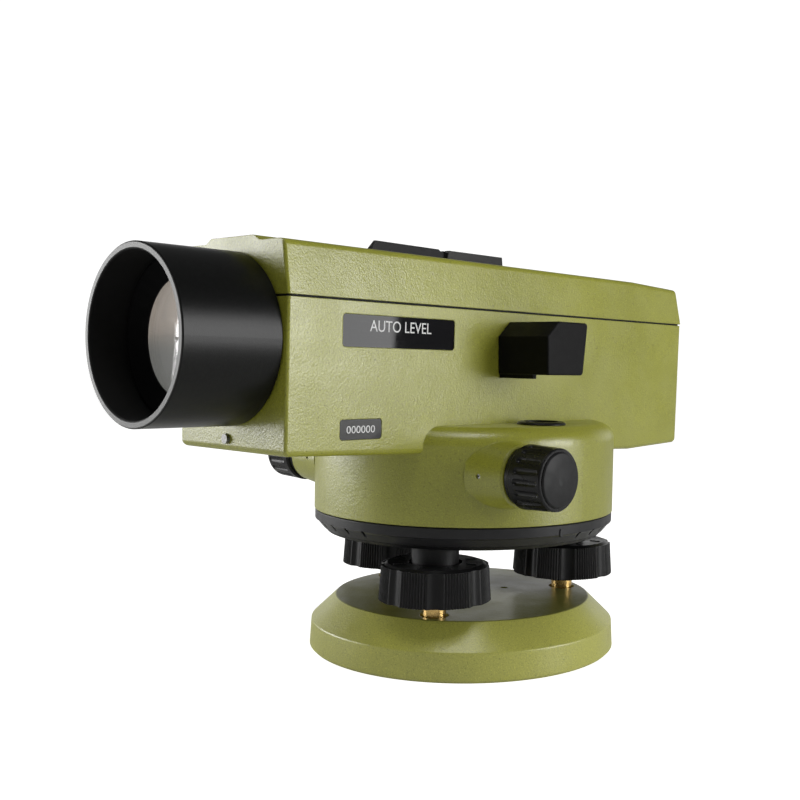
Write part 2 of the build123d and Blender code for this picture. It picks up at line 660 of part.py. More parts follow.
def focus_carriage():
    cell = rod_y(TUBE_BORE_R - RUN, -80, -56) - rod_y(14.6, -90, -50)
    cell += block(-25, -17.5, FOCUS_Y - 4.5, FOCUS_Y + 4.5, 115, 121.5) - rod_y(16, -90, -50)
    rack = block(-27, -23.2, FOCUS_Y - 16, FOCUS_Y + 16, RACK_BOTTOM_Z, RACK_BOTTOM_Z + 3.8)
    pitch = 2 * pi * PINION_R / 12
    for k in range(-12, 12):
        y = FOCUS_Y + (k + 0.5) * pitch
        if abs(y - FOCUS_Y) < 15:
            rack -= block(-28, -23, y - pitch / 4, y + pitch / 4, RACK_BOTTOM_Z - 1, RACK_BOTTOM_Z + 0.6)
    return cell + rack


def focus_lens():
    return lens(14.55, 3.0, -1.3, -1.3, FOCUS_Y)


FOCUS_BUSH_R = 5.0
FOCUS_KNOB_X = -37.0
FOCUS_KNOB_R = 17.0


def focus_bush():
    bush = rod_x(FOCUS_BUSH_R, -36.4, -28.4, FOCUS_Y, FOCUS_Z)
    bush += rod_x(9.0, -36.4, -32.4, FOCUS_Y, FOCUS_Z)
    return bush - rod_x(2.0 + RUN, -50, -20, FOCUS_Y, FOCUS_Z)


def focus_pinion():
    shaft = rod_x(2.0, FOCUS_KNOB_X - 13, -23.2, FOCUS_Y, FOCUS_Z)

    def tooth_radius(angle):
        return PINION_R + 0.1 if (angle % 30) < 15 else PINION_R - 0.4

    gear = extrude(radial_outline(tooth_radius, 48), 3.8)
    return shaft + Location((-27, FOCUS_Y, FOCUS_Z), (0, 90, 0)) * gear


def focus_knob():
    """Large side knob with rounded grooves and a plain domed face."""
    length = 17.0
    knob = turned([(0, 0), (FOCUS_KNOB_R - 3, 0), (FOCUS_KNOB_R - 0.6, 1.4), (FOCUS_KNOB_R, 3.0),
                   (FOCUS_KNOB_R - 0.6, length - 2), (FOCUS_KNOB_R - 2.4, length), (0, length + 0.6)])
    groove = rod_z(1.4, 4.2, length - 4) + Pos(0, 0, 4.2) * Sphere(1.4)
    groove += Pos(0, 0, length - 4) * Sphere(1.4)
    for k in range(24):
        knob -= Rot(Z=15 * k) * Pos(FOCUS_KNOB_R + 0.4, 0, 0) * groove
    knob -= rod_z(2.0 + FIT, -1, 13.2)
    return Location((FOCUS_KNOB_X, FOCUS_Y, FOCUS_Z), (0, -90, 0)) * knob


# ---- compensator ----
FRAME_HALF_W = 24.0
FRAME_Y0 = -8.0
FRAME_Y1 = 48.0


def compensator_frame():
    floor_z = WEB_TOP_Z + 0.05
    frame = block(-FRAME_HALF_W, FRAME_HALF_W, FRAME_Y0, FRAME_Y1, floor_z, 97)
    for side in (-1, 1):
        x0, x1 = sorted((side * (FRAME_HALF_W - 3), side * FRAME_HALF_W))
        cheek = block(x0, x1, FRAME_Y0, FRAME_Y1, 96, 150.5)
        cheek -= rod_x(9, -30, 30, PENDULUM_Y, 106.5)
        frame += cheek
    frame += block(-22, 22, PENDULUM_Y - 4, PENDULUM_Y + 4, PIVOT_Z, 150.5)
    frame -= rod_z(5.8, 94, 100, 0, PENDULUM_Y)
    for x in (-15, 15):
        for y in (FRAME_Y0 + 6, FRAME_Y1 - 6):
            frame -= rod_z(1.6, 90, 100, x, y) + rod_z(3.0, 95.2, 100, x, y)
    return frame


def fixed_prisms():
    half = FRAME_HALF_W - 3 - 0.1
    front = slab_x([(-4, 117), (-4, 136.5), (15.5, 136.5)], -half, half)
    rear = slab_x([(44, 117), (44, 136.5), (24.5, 136.5)], -half, half)
    return [front, rear]


def pendulum():
    holder = block(-16, 16, 6, 34, 99, 103.5)
    for side in (-1, 1):
        x0, x1 = sorted((side * 16, side * 18.5))
        holder += block(x0, x1, PENDULUM_Y - 3, PENDULUM_Y + 3, 99, 139)
    return holder + rod_z(5.0, 94.6, 100, 0, PENDULUM_Y)


def pendulum_prism():
    return slab_x([(10, 103.55), (30, 103.55), (35, 113.5), (5, 113.5)], -12, 12)


def suspension_wires():
    wires = []
    for x in (-17.25, 17.25):
        for y in (PENDULUM_Y - 2, PENDULUM_Y + 2):
            wires.append(rod_z(0.2, 139.02, PIVOT_Z - 0.1, x, y))
    return wires


# ---- reticle and eyepiece ----
RETICLE_CELL_R = 13.0
MOUNT_TUBE_R = 12.5
BARREL_R = 10.6


def reticle_cell():
    return rod_y(RETICLE_CELL_R, RETICLE_YS[0] + 0.5, RETICLE_YS[1] + 3) - rod_y(9.0, 70, 100)


def reticle_glass():
    return rod_y(8.95, 83, 85.5)


def eyepiece_mount():
    flange_y = BODY_REAR_Y + 0.1
    mount = rod_y(MOUNT_TUBE_R, 100, flange_y + 1) + rod_y(17.0, flange_y, flange_y + 3.2)
    return mount - rod_y(BARREL_R + RUN, 90, 130)


def dioptre_ring():
    """Knurled eyepiece ring in one piece with the barrel that screws in the mount."""
    y0, y1 = BODY_REAR_Y + 3.8, 135.0

    def knurl_radius(angle):
        return 16.6 if round(angle / 2.5) % 2 else 16.0

    grip = extrude(radial_outline(knurl_radius, 144), y1 - y0 - 3)
    ring = Pos(0, y0 + 1.2, 0) * on_sight_line(grip)
    ring += rod_y(15.4, y0, y1)
    ring += rod_y(BARREL_R, 104, y1)
    return ring - rod_y(8.8, 90, 140)


def eyepiece_lenses():
    return [lens(8.75, 1.6, 0.6, 1.2, 110), lens(8.75, 1.6, 1.3, 0.5, 129)]


def eyecup():
    profile = [(8.9, 135.05), (14.2, 135.05), (14.6, 136.5), (13.6, 140.8), (12.2, 141.6), (11.0, 140.8),
               (9.4, 137.4)]
    return on_sight_line(turned(profile))


def adjuster_cap():
    """Slotted plug over the line-of-sight adjusting screw."""
    cap = rod_y(ADJUSTER_R, BODY_REAR_Y - 3.3, BODY_REAR_Y + 1.4, 0, ADJUSTER_Z)
    slot_y = BODY_REAR_Y + 0.7
    return cap - block(-4.5, 4.5, slot_y, slot_y + 2, ADJUSTER_Z - 0.5, ADJUSTER_Z + 0.5)


# ---- circular level, mirror, sight and plates ----
MIRROR_X0 = SEAM_HALF_W + 0.1
MIRROR_X1 = 57.6
MIRROR_WALL = 1.8


def mirror_profile(inset):
    """Side outline of the mirror housing, drawn in by a wall thickness."""
    return [(-15.2 + inset, 116.0 - 2 * inset), (-15.8 + inset, 130.8 - 0.4 * inset),
            (-9.0 + 0.4 * inset, 136.9 - inset), (9.3 + 4 * inset, 136.9 - inset),
            (6.7 + 4 * inset, 116.0 - 2 * inset)]


def mirror_housing():
    """Hood on the side of the body, open below and behind, that shelters the vial mirror."""
    shell = slab_x(mirror_profile(0), MIRROR_X0, MIRROR_X1)
    lengthwise = shell.edges().filter_by(Axis.X)
    shell = fillet([e for e in lengthwise if e.center().Y > 0], 1.5)
    shell = fillet([e for e in shell.edges().filter_by(Axis.X) if e.center().Y < -8], 0.7)
    outer_face = shell.faces().sort_by(Axis.X)[-1]
    shell = fillet(outer_face.edges(), 0.6)
    shell -= slab_x(mirror_profile(MIRROR_WALL), MIRROR_X0 + MIRROR_WALL, MIRROR_X1 - MIRROR_WALL)
    return shell + block(MIRROR_X0, 49.5, -14.6, -12.8, 114.4, 116.6)


def vial_mirror():
    """Silvered plate at 45 degrees that shows the bubble to the observer behind."""
    plate = Box(MIRROR_X1 - MIRROR_X0 - 2 * MIRROR_WALL - 0.3, 20.0, 1.2)
    middle_x = (MIRROR_X0 + MIRROR_X1) / 2
    return Location((middle_x, -4.2, 126.6), (45, 0, 0)) * plate


VIAL_GLASS_R = 7.2
VIAL_RIM_H = 1.35


def vial_case():
    """Cup let into the shelf, with a rounded black rim that carries three small screws."""
    top = SHELF_Z + VIAL_RIM_H
    cup_r = VIAL_R - 1.3
    case = turned([(0, WEB_BOTTOM_Z + 2), (cup_r, WEB_BOTTOM_Z + 2), (cup_r, SHELF_Z + 0.05),
                   (VIAL_R, SHELF_Z + 0.05), (VIAL_R, top - 0.9), (VIAL_R - 0.5, top - 0.35),
                   (VIAL_R - 1.6, top), (0, top)])
    case -= rod_z(VIAL_GLASS_R + 0.05, WEB_BOTTOM_Z + 3.5, 100)
    for x, y in vial_screw_points:
        case -= rod_z(0.5, SHELF_Z - 3, 100, x, y) + rod_z(0.8, top - 0.9, 100, x, y)
    return Pos(VIAL_X, VIAL_Y, 0) * case


def vial_glass():
    """Closed glass of the circular level with a domed top."""
    sag, edge_z = 0.5, SHELF_Z + VIAL_RIM_H - 0.9
    dome_r = (VIAL_GLASS_R ** 2 + sag ** 2) / (2 * sag)
    glass = rod_z(VIAL_GLASS_R, WEB_BOTTOM_Z + 3.6, edge_z + sag)
    glass &= Pos(0, 0, edge_z + sag - dome_r) * Sphere(dome_r)
    return Pos(VIAL_X, VIAL_Y, 0) * glass


def vial_screws():
    screws = []
    top = SHELF_Z + VIAL_RIM_H
    for x, y in vial_screw_points:
        screw = rod_z(0.45, SHELF_Z - 2.6, top - 0.6) + rod_z(0.75, top - 0.85, top - 0.4)
        screw -= block(-1, 1, -0.12, 0.12, top - 0.6, top)
        screws.append(Pos(VIAL_X + x, VIAL_Y + y, 0) * screw)
    return screws


def peep_sight():
    """Long open sight: a thin tapered front blade, a low gap and a wider notched rear blade."""
    base = PLATEAU_Z + 0.05
    foot, crest = 1.8, 0.6
    front = slab_x([(-57.5, base), (-53.5, 167.0), (-19.0, 166.8), (-18.0, 166.0), (-15.5, 166.0),
                    (-15.5, base)], -foot, foot)
    front &= slab_y([(-foot, base), (foot, base), (crest, 167.2), (-crest, 167.2)], -60, -10)
    rear = slab_x([(-16.5, base), (-15.2, 166.5), (17.9, 166.6), (18.5, base)], -3, 3)
    groove = slab_y([(0, 165.2), (1.4, 168), (-1.4, 168)], -20, 30)
    return front + (rear - groove)


def name_plate():
    return plate_blank(NAME_PLATE, PLATE_THICK, -PLATE_DEPTH + 0.05)


def serial_plate():
    return plate_blank(SERIAL_PLATE, PLATE_THICK, -PLATE_DEPTH + 0.05)


def front_screw():
    y0, y1 = BODY_FRONT_Y - 1.2, BODY_FRONT_Y + 2.4
    return rod_y(FRONT_SCREW_R, y0, y1, FRONT_SCREW_X, FRONT_SCREW_Z)


def build_all():
    os.makedirs("parts", exist_ok=True)
    single = (base_plate, tripod_bush, bottom_plate, bottom_screws, tribrach_body,
              foot_bushes, axis_bush, axis_cap, friction_spring, circle_ring, main_housing, top_cover,
              seam_gasket, cover_screws, spindle, spindle_retainer, worm_wheel, worm_shaft, worm_bushes,
              knob_caps, lens_hood, objective_cell, objective_crown, objective_flint,
              objective_retainer, telescope_tube, focus_carriage, focus_lens, focus_bush, focus_pinion,
              focus_knob, compensator_frame, fixed_prisms, pendulum, pendulum_prism, suspension_wires,
              reticle_cell, reticle_glass, eyepiece_mount, dioptre_ring, eyepiece_lenses, eyecup,
              mirror_housing, vial_mirror, vial_case, vial_glass, vial_screws, peep_sight, name_plate,
              serial_plate, front_screw, adjuster_cap)
    for make in single:
        save(make.__name__, make())
    for number, (x, y) in enumerate(foot_points, start=1):
        save(f"foot_knob_{number}", foot_knob(x, y))
        save(f"foot_stud_{number}", foot_stud(x, y))
    save("tangent_knob_left", tangent_knob(1))
    save("tangent_knob_right", tangent_knob(-1))


build_all()
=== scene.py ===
"""Looks of the automatic level: finishes of the CAD pieces, a few fine details, and the studio."""
import bmesh
import bpy
import math
from mathutils import Matrix, Vector


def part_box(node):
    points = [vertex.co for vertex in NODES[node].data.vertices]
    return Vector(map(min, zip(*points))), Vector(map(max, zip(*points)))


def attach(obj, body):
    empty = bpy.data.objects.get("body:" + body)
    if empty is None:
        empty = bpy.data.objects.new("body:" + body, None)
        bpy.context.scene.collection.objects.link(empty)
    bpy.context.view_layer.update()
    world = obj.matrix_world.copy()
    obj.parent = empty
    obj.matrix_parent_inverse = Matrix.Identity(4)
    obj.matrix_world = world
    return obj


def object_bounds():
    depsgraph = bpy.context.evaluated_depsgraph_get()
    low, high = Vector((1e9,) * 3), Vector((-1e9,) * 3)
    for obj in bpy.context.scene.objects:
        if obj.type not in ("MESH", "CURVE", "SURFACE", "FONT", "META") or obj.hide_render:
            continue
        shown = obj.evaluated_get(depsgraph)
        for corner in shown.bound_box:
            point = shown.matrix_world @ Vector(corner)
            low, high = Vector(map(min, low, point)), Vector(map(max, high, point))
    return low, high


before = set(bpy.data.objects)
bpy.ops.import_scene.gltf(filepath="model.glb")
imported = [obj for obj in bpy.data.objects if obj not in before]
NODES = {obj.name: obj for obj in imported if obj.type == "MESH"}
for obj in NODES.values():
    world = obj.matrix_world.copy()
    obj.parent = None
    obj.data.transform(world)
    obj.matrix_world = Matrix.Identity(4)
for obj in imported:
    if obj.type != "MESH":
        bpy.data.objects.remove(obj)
cad_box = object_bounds()

MM = 0.001


# ---- places taken from the frame, in metres ----
def middle(node):
    low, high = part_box(node)
    return (low + high) / 2


OPTIC = middle("lens_hood")
HOOD_LOW, HOOD_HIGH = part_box("lens_hood")
HOOD_R = (HOOD_HIGH.x - HOOD_LOW.x) / 2
WORM = middle("worm_shaft")
BASE_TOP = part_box("base_plate")[1].z


# ---- material graph helper ----
class Graph:
    """Shorthand for building one node tree."""

    def __init__(self, tree, coordinates):
        self.nodes, self.links = tree.nodes, tree.links
        self.place = self.nodes.new("ShaderNodeTexCoord").outputs[coordinates]
        self.normal = None

    def put(self, socket, value):
        if isinstance(value, bpy.types.NodeSocket):
            self.links.new(value, socket)
        elif isinstance(value, tuple) and len(value) == 3 and len(socket.default_value) == 4:
            socket.default_value = (*value, 1.0)
        else:
            socket.default_value = value

    def math(self, operation, a, b=0.0):
        node = self.nodes.new("ShaderNodeMath")
        node.operation = operation
        self.put(node.inputs[0], a)
        self.put(node.inputs[1], b)
        return node.outputs[0]

    def vector_math(self, operation, a, b):
        node = self.nodes.new("ShaderNodeVectorMath")
        node.operation = operation
        self.put(node.inputs[0], a)
        self.put(node.inputs[1], b)
        return node.outputs["Value" if operation in ("DOT_PRODUCT", "LENGTH") else "Vector"]

    def mix(self, share, a, b):
        node = self.nodes.new("ShaderNodeMix")
        node.data_type = "RGBA"
        self.put(node.inputs["Factor"], share)
        self.put(node.inputs[6], a)
        self.put(node.inputs[7], b)
        return node.outputs[2]

    def ramp(self, value, start, end, low=0.0, high=1.0):
        """Maps start..end to low..high, smoothly, and holds the ends."""
        node = self.nodes.new("ShaderNodeMapRange")
        node.interpolation_type = "SMOOTHSTEP"
        self.put(node.inputs["Value"], value)
        for name, number in zip(("From Min", "From Max", "To Min", "To Max"), (start, end, low, high)):
            self.put(node.inputs[name], number)
        return node.outputs[0]

    def noise(self, size, detail=2.0, stretch=(1.0, 1.0, 1.0)):
        """Noise about size metres across, from 0 to 1."""
        node = self.nodes.new("ShaderNodeTexNoise")
        node.inputs["Scale"].default_value = 1 / size
        node.inputs["Detail"].default_value = detail
        place = self.vector_math("MULTIPLY", self.place, stretch)
        self.links.new(place, node.inputs["Vector"])
        return node.outputs["Fac"]

    def axes(self, centre=(0.0, 0.0, 0.0)):
        """x, y and z measured from a centre."""
        node = self.nodes.new("ShaderNodeSeparateXYZ")
        self.links.new(self.vector_math("SUBTRACT", self.place, centre), node.inputs[0])
        return node.outputs[0], node.outputs[1], node.outputs[2]

    def radius(self, a, b):
        squares = self.math("ADD", self.math("MULTIPLY", a, a), self.math("MULTIPLY", b, b))
        return self.math("SQRT", squares)

    def round_edges(self, radius):
        """Shades sharp edges as if they were broken by this radius, and returns a mask of them."""
        bevel = self.nodes.new("ShaderNodeBevel")
        bevel.samples = 4
        bevel.inputs["Radius"].default_value = radius
        self.normal = bevel.outputs["Normal"]
        true_normal = self.nodes.new("ShaderNodeNewGeometry").outputs["Normal"]
        return self.ramp(self.vector_math("DOT_PRODUCT", self.normal, true_normal), 0.99, 0.86)

    def bump(self, height, depth):
        node = self.nodes.new("ShaderNodeBump")
        node.inputs["Distance"].default_value = depth
        self.links.new(height, node.inputs["Height"])
        if self.normal is not None:
            self.links.new(self.normal, node.inputs["Normal"])
        self.normal = node.outputs["Normal"]

    def camera_only(self, value_for_camera, value_otherwise):
        """A value that camera rays see as one number and every other ray as another."""
        path = self.nodes.new("ShaderNodeLightPath")
        mix = self.nodes.new("ShaderNodeMix")
        self.put(mix.inputs[2], value_otherwise)
        self.put(mix.inputs[3], value_for_camera)
        self.links.new(path.outputs["Is Camera Ray"], mix.inputs[0])
        return mix.outputs[0]


class Finish(Graph):
    """One Principled material. Patterns are in object space, so they stay with their piece."""

    def __init__(self, name):
        self.material = bpy.data.materials.new(name)
        self.material.use_nodes = True
        tree = self.material.node_tree
        tree.nodes.clear()
        super().__init__(tree, "Object")
        self.shader = self.nodes.new("ShaderNodeBsdfPrincipled")
        output = self.nodes.new("ShaderNodeOutputMaterial")
        self.links.new(self.shader.outputs["BSDF"], output.inputs["Surface"])

    def set(self, settings):
        for name, value in settings.items():
            self.put(self.shader.inputs[name], value)

    def done(self):
        if self.normal is not None:
            self.links.new(self.normal, self.shader.inputs["Normal"])
        return self.material


def shade(colour, factor):
    """The same hue, lighter or darker."""
    return tuple(channel * factor for channel in colour)


# ---- finishes ----
ENAMEL = (0.30, 0.305, 0.032)
# The base plate's enamel: the same paint as the housing, lighter and a little paler; the lightening is
# painted light for the light the base gets from the floor.
BASE_ENAMEL_LIT = (0.410, 0.410, 0.078)
ENAMEL_GLOSS = 0.85
# Gloss and colour of the painted shade on a top face that lies in the shadow of the parts above.
TOP_SHADE_GLOSS = 0.35
TOP_SHADE_COLOUR = (0.050, 0.048, 0.022)


def enamel(name, tone=ENAMEL, shaded_above=None):
    """Stoved olive enamel over a casting: orange peel, fine speckle, faint rubbing on the edges, which
    also serves as a painted highlight on them.

    Above a given height, if any, a painted shade darkens and dulls it: the shadow that the parts above
    cast on a top face.
    """
    g = Finish(name)
    edge = g.round_edges(0.5 * MM)
    cloud = g.noise(45 * MM, 3)
    speckle = g.noise(0.45 * MM, 1)
    base = g.mix(g.ramp(cloud, 0.3, 0.7), shade(tone, 0.93), shade(tone, 1.06))
    base = g.mix(g.ramp(speckle, 0.56, 0.74, 0.0, 0.6), base, shade(tone, 1.5))
    base = g.mix(g.ramp(speckle, 0.44, 0.28, 0.0, 0.6), base, shade(tone, 0.55))
    pits = g.ramp(g.noise(1.3 * MM, 1), 0.70, 0.76, 0.0, 0.45)
    base = g.mix(pits, base, shade(tone, 0.4))
    # Lighter on the edges: rubbed paint, and also a painted highlight where the edges catch the light.
    wear_and_highlight = g.math("MULTIPLY", edge, g.ramp(g.noise(5 * MM, 3), 0.45, 0.7, 0.0, 0.5))
    base = g.mix(wear_and_highlight, base, shade(tone, 1.35))
    gloss = ENAMEL_GLOSS
    # Painted shade: above the given height the colour and the gloss drop, for the shadow on the top face.
    if shaded_above is not None:
        top_shade_mask = g.ramp(g.axes()[2], shaded_above, shaded_above + 0.2 * MM)
        base = g.mix(g.math("MULTIPLY", top_shade_mask, 0.6), base, TOP_SHADE_COLOUR)
        gloss = g.ramp(top_shade_mask, 0.0, 1.0, ENAMEL_GLOSS, TOP_SHADE_GLOSS)
    g.bump(g.noise(0.8 * MM, 2), 0.09 * MM)
    g.bump(g.noise(6 * MM, 2), 0.09 * MM)
    g.set({
        "Base Color": base,
        "Roughness": g.ramp(g.noise(14 * MM, 3), 0.3, 0.7, 0.28, 0.36),
        "Specular IOR Level": gloss,
    })
    return g.done()


def moulded(name, tone=0.005, roughness=0.42, grain=0.5, depth=0.03, edge_highlight=2.6, gloss=0.28,
            rounding=0.3):
    """Black moulded plastic with a spark-eroded grain, dust in the grain and a painted highlight on the
    edges.

    grain and depth are the size and height of the grain, rounding that of the edges, all in mm.
    """
    g = Finish(name)
    edge = g.round_edges(rounding * MM)
    black = (tone, tone, tone * 1.05)
    dust = g.ramp(g.noise(9 * MM, 4), 0.5, 0.75, 0.0, 0.35)
    base = g.mix(dust, black, shade(black, 1.7))
    # Painted highlight: the edges are coloured lighter, as if they caught the light.
    base = g.mix(g.math("MULTIPLY", edge, 0.6), base, shade(black, edge_highlight))
    g.bump(g.noise(grain * MM, 2), depth * MM)
    wide = g.ramp(g.noise(4 * MM, 3), 0.3, 0.7, roughness - 0.05, roughness + 0.06)
    g.set({
        "Base Color": base,
        "Roughness": g.math("SUBTRACT", wide, g.math("MULTIPLY", edge, 0.08)),
        "Specular IOR Level": gloss,
    })
    return g.done()


def turned(name, tone, axis, centre, metallic, roughness, pitch=0.22, depth=0.004, stain=0.8):
    """A lathe-turned part: fine tool rings along and across its axis, with light staining."""
    g = Finish(name)
    edge = g.round_edges(0.15 * MM)
    parts = g.axes(tuple(centre))
    along = parts[axis]
    across = g.radius(parts[(axis + 1) % 3], parts[(axis + 2) % 3])
    rings = g.math("SINE", g.math("MULTIPLY", g.math("ADD", along, across), math.tau / (pitch * MM)))
    g.bump(rings, depth * MM)
    marks = g.ramp(g.noise(3 * MM, 4), 0.42, 0.72)
    base = g.mix(g.math("MULTIPLY", marks, 0.5), tone, shade(tone, stain))
    base = g.mix(g.math("MULTIPLY", edge, 0.5), base, shade(tone, 1.25))
    g.set({
        "Base Color": base,
        "Metallic": metallic,
        "Roughness": g.ramp(g.noise(1.2 * MM, 3), 0.3, 0.7, roughness - 0.05, roughness + 0.07),
    })
    return g.done()


def assign(material, *names):
    """Gives CAD nodes one finish."""
    for name in names:
        slots = NODES[name].data.materials
        slots.clear()
        slots.append(material)


BRASS = (0.78, 0.53, 0.20)
STEEL = (0.56, 0.56, 0.55)
ANODISED = (0.0028, 0.003, 0.0029)


def hood_finish():
    """Satin black anodising, cut back to bare metal on the front rim, and flat black inside."""
    g = Finish("hood_black")
    x, y, z = g.axes(tuple(OPTIC))
    across = g.radius(x, z)
    depth = g.math("SUBTRACT", y, (HOOD_LOW.y - OPTIC.y))
    rim = g.ramp(depth, 0.30 * MM, 0.15 * MM)
    inside = g.ramp(across, HOOD_R - 1.0 * MM, HOOD_R - 1.6 * MM)
    base = g.mix(g.ramp(g.noise(1.1 * MM, 3), 0.35, 0.7), ANODISED, shade(ANODISED, 1.6))
    base = g.mix(inside, base, (0.004, 0.004, 0.004))
    base = g.mix(rim, base, (0.060, 0.060, 0.058))
    rough = g.mix(inside, (0.31, 0.31, 0.31), (0.75, 0.75, 0.75))
    rough = g.mix(rim, rough, (0.34, 0.34, 0.34))
    g.bump(g.noise(0.35 * MM, 2), 0.03 * MM)
    g.set({"Base Color": base, "Roughness": rough, "Metallic": g.math("MULTIPLY", rim, 0.2),
           "Specular IOR Level": 0.25})
    return g.done()


def glass(name, tint, coat_tint, roughness=0.02):
    """Optical glass with a coloured anti-reflection coating and a trace of dust."""
    g = Finish(name)
    dust = g.ramp(g.noise(2 * MM, 4), 0.55, 0.85, roughness, roughness + 0.08)
    g.set({
        "Base Color": tint,
        "Transmission Weight": 1.0,
        "IOR": 1.52,
        "Roughness": dust,
        "Specular Tint": coat_tint,
    })
    return g.done()


def coated_glass():
    """Front lens: a painted reflection, glowing brown above and grey below, stands for the studio seen in
    its many coated surfaces.
    """
    g = Finish("coated_glass")
    x, y, z = g.axes(tuple(OPTIC))
    # Painted reflection: an emitted colour, brown above and grey below, with grey patches.
    painted_reflection = g.mix(g.ramp(z, -6 * MM, 6 * MM), (0.115, 0.118, 0.110), (0.300, 0.258, 0.215))
    painted_reflection = g.mix(g.ramp(g.noise(5 * MM, 3), 0.35, 0.7, 0.0, 0.4), painted_reflection, (0.12, 0.12, 0.12))
    g.set({
        "Base Color": (0.9, 0.9, 0.88),
        "Transmission Weight": 0.8,
        "IOR": 1.52,
        "Roughness": g.ramp(g.noise(2 * MM, 4), 0.55, 0.85, 0.02, 0.08),
        "Emission Color": painted_reflection,
        "Emission Strength": 0.42,
    })
    return g.done()


def label_finish(name, tone):
    """Gloss printed plate with fine handling scratches."""
    g = Finish(name)
    scratch = g.ramp(g.noise(0.6 * MM, 3, (1, 0.06, 1)), 0.62, 0.75)
    base = g.mix(g.math("MULTIPLY", scratch, 0.2), tone, (0.06, 0.06, 0.06))
    g.set({
        "Base Color": base,
        "Roughness": g.ramp(g.noise(3 * MM, 3), 0.3, 0.7, 0.02, 0.05),
        "Specular IOR Level": 0.2,
    })
    return g.done()


def mirror_finish():
    """Silvered glass with a few dull specks."""
    g = Finish("silvered")
    specks = g.ramp(g.noise(1.5 * MM, 4), 0.66, 0.76)
    g.set({
        "Base Color": g.mix(specks, (0.86, 0.88, 0.88), (0.5, 0.5, 0.5)),
        "Metallic": 1.0,
        "Roughness": g.ramp(g.noise(4 * MM, 3), 0.3, 0.7, 0.02, 0.08),
    })
    return g.done()


def finish_cad():
    """Gives every CAD node its finish and smooth shading."""
    for node in NODES.values():
        node.data.shade_smooth()
        node.data.set_sharp_from_angle(angle=math.radians(28))
    assign(enamel("green_enamel"), "main_housing", "top_cover")
    # The base plate: a lighter copy of the enamel as painted light, and painted shade on its top face.
    assign(enamel("base_enamel_painted_light", BASE_ENAMEL_LIT, BASE_TOP - 0.3 * MM), "base_plate")
    assign(hood_finish(), "lens_hood")
    assign(moulded("ring_black", 0.020, 0.38, 0.5, 0.02, 4.0), "circle_ring")
    assign(moulded("head_black", 0.008, 0.45, 0.7, 0.04), "tribrach_body", "axis_cap")
    assign(moulded("grip_black", 0.005, 0.34, 0.5, 0.02, 3.5),
           "foot_knob_1", "foot_knob_2", "foot_knob_3")
    assign(moulded("knob_gloss", 0.007, 0.30, 0.6, 0.01, 4.0), "tangent_knob_left", "tangent_knob_right",
           "focus_knob")
    assign(moulded("knob_cap_black", 0.008, 0.50, 0.3, 0.03), "knob_caps", "adjuster_cap")
    # A strong painted highlight on the mirror housing's edges.
    assign(moulded("mirror_box_black", 0.004, 0.40, 0.35, 0.05, 12.0, 0.10, 0.7), "mirror_housing")
    assign(moulded("sight_black", 0.012, 0.40, 0.35, 0.03, 3.0), "peep_sight")
    assign(moulded("rubber", 0.012, 0.70, 0.4, 0.03, 1.4), "eyecup", "seam_gasket")
    anodised = moulded("anodised_black", 0.006, 0.36, 0.35, 0.015)
    # A strong painted highlight on the objective cell's edges.
    assign(moulded("cell_black", 0.003, 0.60, 0.35, 0.015, 14.0, 0.08), "objective_cell")
    assign(anodised, "objective_retainer", "telescope_tube", "reticle_cell",
           "eyepiece_mount", "dioptre_ring", "vial_case", "focus_carriage")
    for k in (1, 2, 3):
        stud = f"foot_stud_{k}"
        assign(turned(f"brass_stud_{k}", BRASS, 2, middle(stud), 1.0, 0.24), stud)
    assign(turned("brass_bush", BRASS, 2, (0, 0, 0), 1.0, 0.3), "foot_bushes", "worm_wheel",
           "worm_bushes", "focus_bush", "axis_bush")
    assign(turned("turned_steel", STEEL, 2, (0, 0, 0), 1.0, 0.3), "tripod_bush", "spindle",
           "spindle_retainer", "friction_spring")
    assign(turned("steel_shaft", STEEL, 0, WORM, 1.0, 0.3), "worm_shaft", "focus_pinion")
    assign(turned("dull_screw", (0.22, 0.22, 0.21), 1, middle("front_screw"), 0.8, 0.42), "front_screw")
    assign(turned("steel_screw", STEEL, 1, middle("front_screw"), 1.0, 0.28), "cover_screws",
           "vial_screws", "bottom_screws", "suspension_wires")
    assign(turned("machined_aluminium", (0.66, 0.66, 0.66), 2, (0, 0, 0), 1.0, 0.38), "bottom_plate",
           "compensator_frame", "pendulum")
    assign(glass("objective_glass", (0.96, 0.96, 0.93), (0.9, 0.75, 1.0, 1.0)), "objective_flint")
    assign(coated_glass(), "objective_crown")
    assign(glass("optical_glass", (0.95, 0.98, 0.96), (0.7, 1.0, 0.8, 1.0)), "focus_lens",
           "fixed_prisms", "pendulum_prism", "reticle_glass", "eyepiece_lenses", "vial_glass")
    assign(mirror_finish(), "vial_mirror")
    assign(label_finish("label_black", (0.009, 0.009, 0.010)), "name_plate")
    assign(label_finish("label_grey", (0.080, 0.080, 0.080)), "serial_plate")


# ---- fine detail pieces ----
PRINT_THICK = 0.04 * MM
SOCKET_SIDES = 6
SCREW_SIDES = 24
SET_SCREW_R = 0.85 * MM
SET_SCREW_X = 50 * MM
SET_SCREW_OUT = 13.4 * MM


def finished(made, mesh, name, material):
    """Writes a bmesh into a mesh and puts it in the scene as a piece that rides the upper part."""
    bmesh.ops.recalc_face_normals(made, faces=made.faces)
    made.to_mesh(mesh)
    made.free()
    obj = bpy.data.objects.new(name, mesh)
    bpy.context.scene.collection.objects.link(obj)
    mesh.materials.clear()
    mesh.materials.append(material)
    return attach(obj, "alidade")


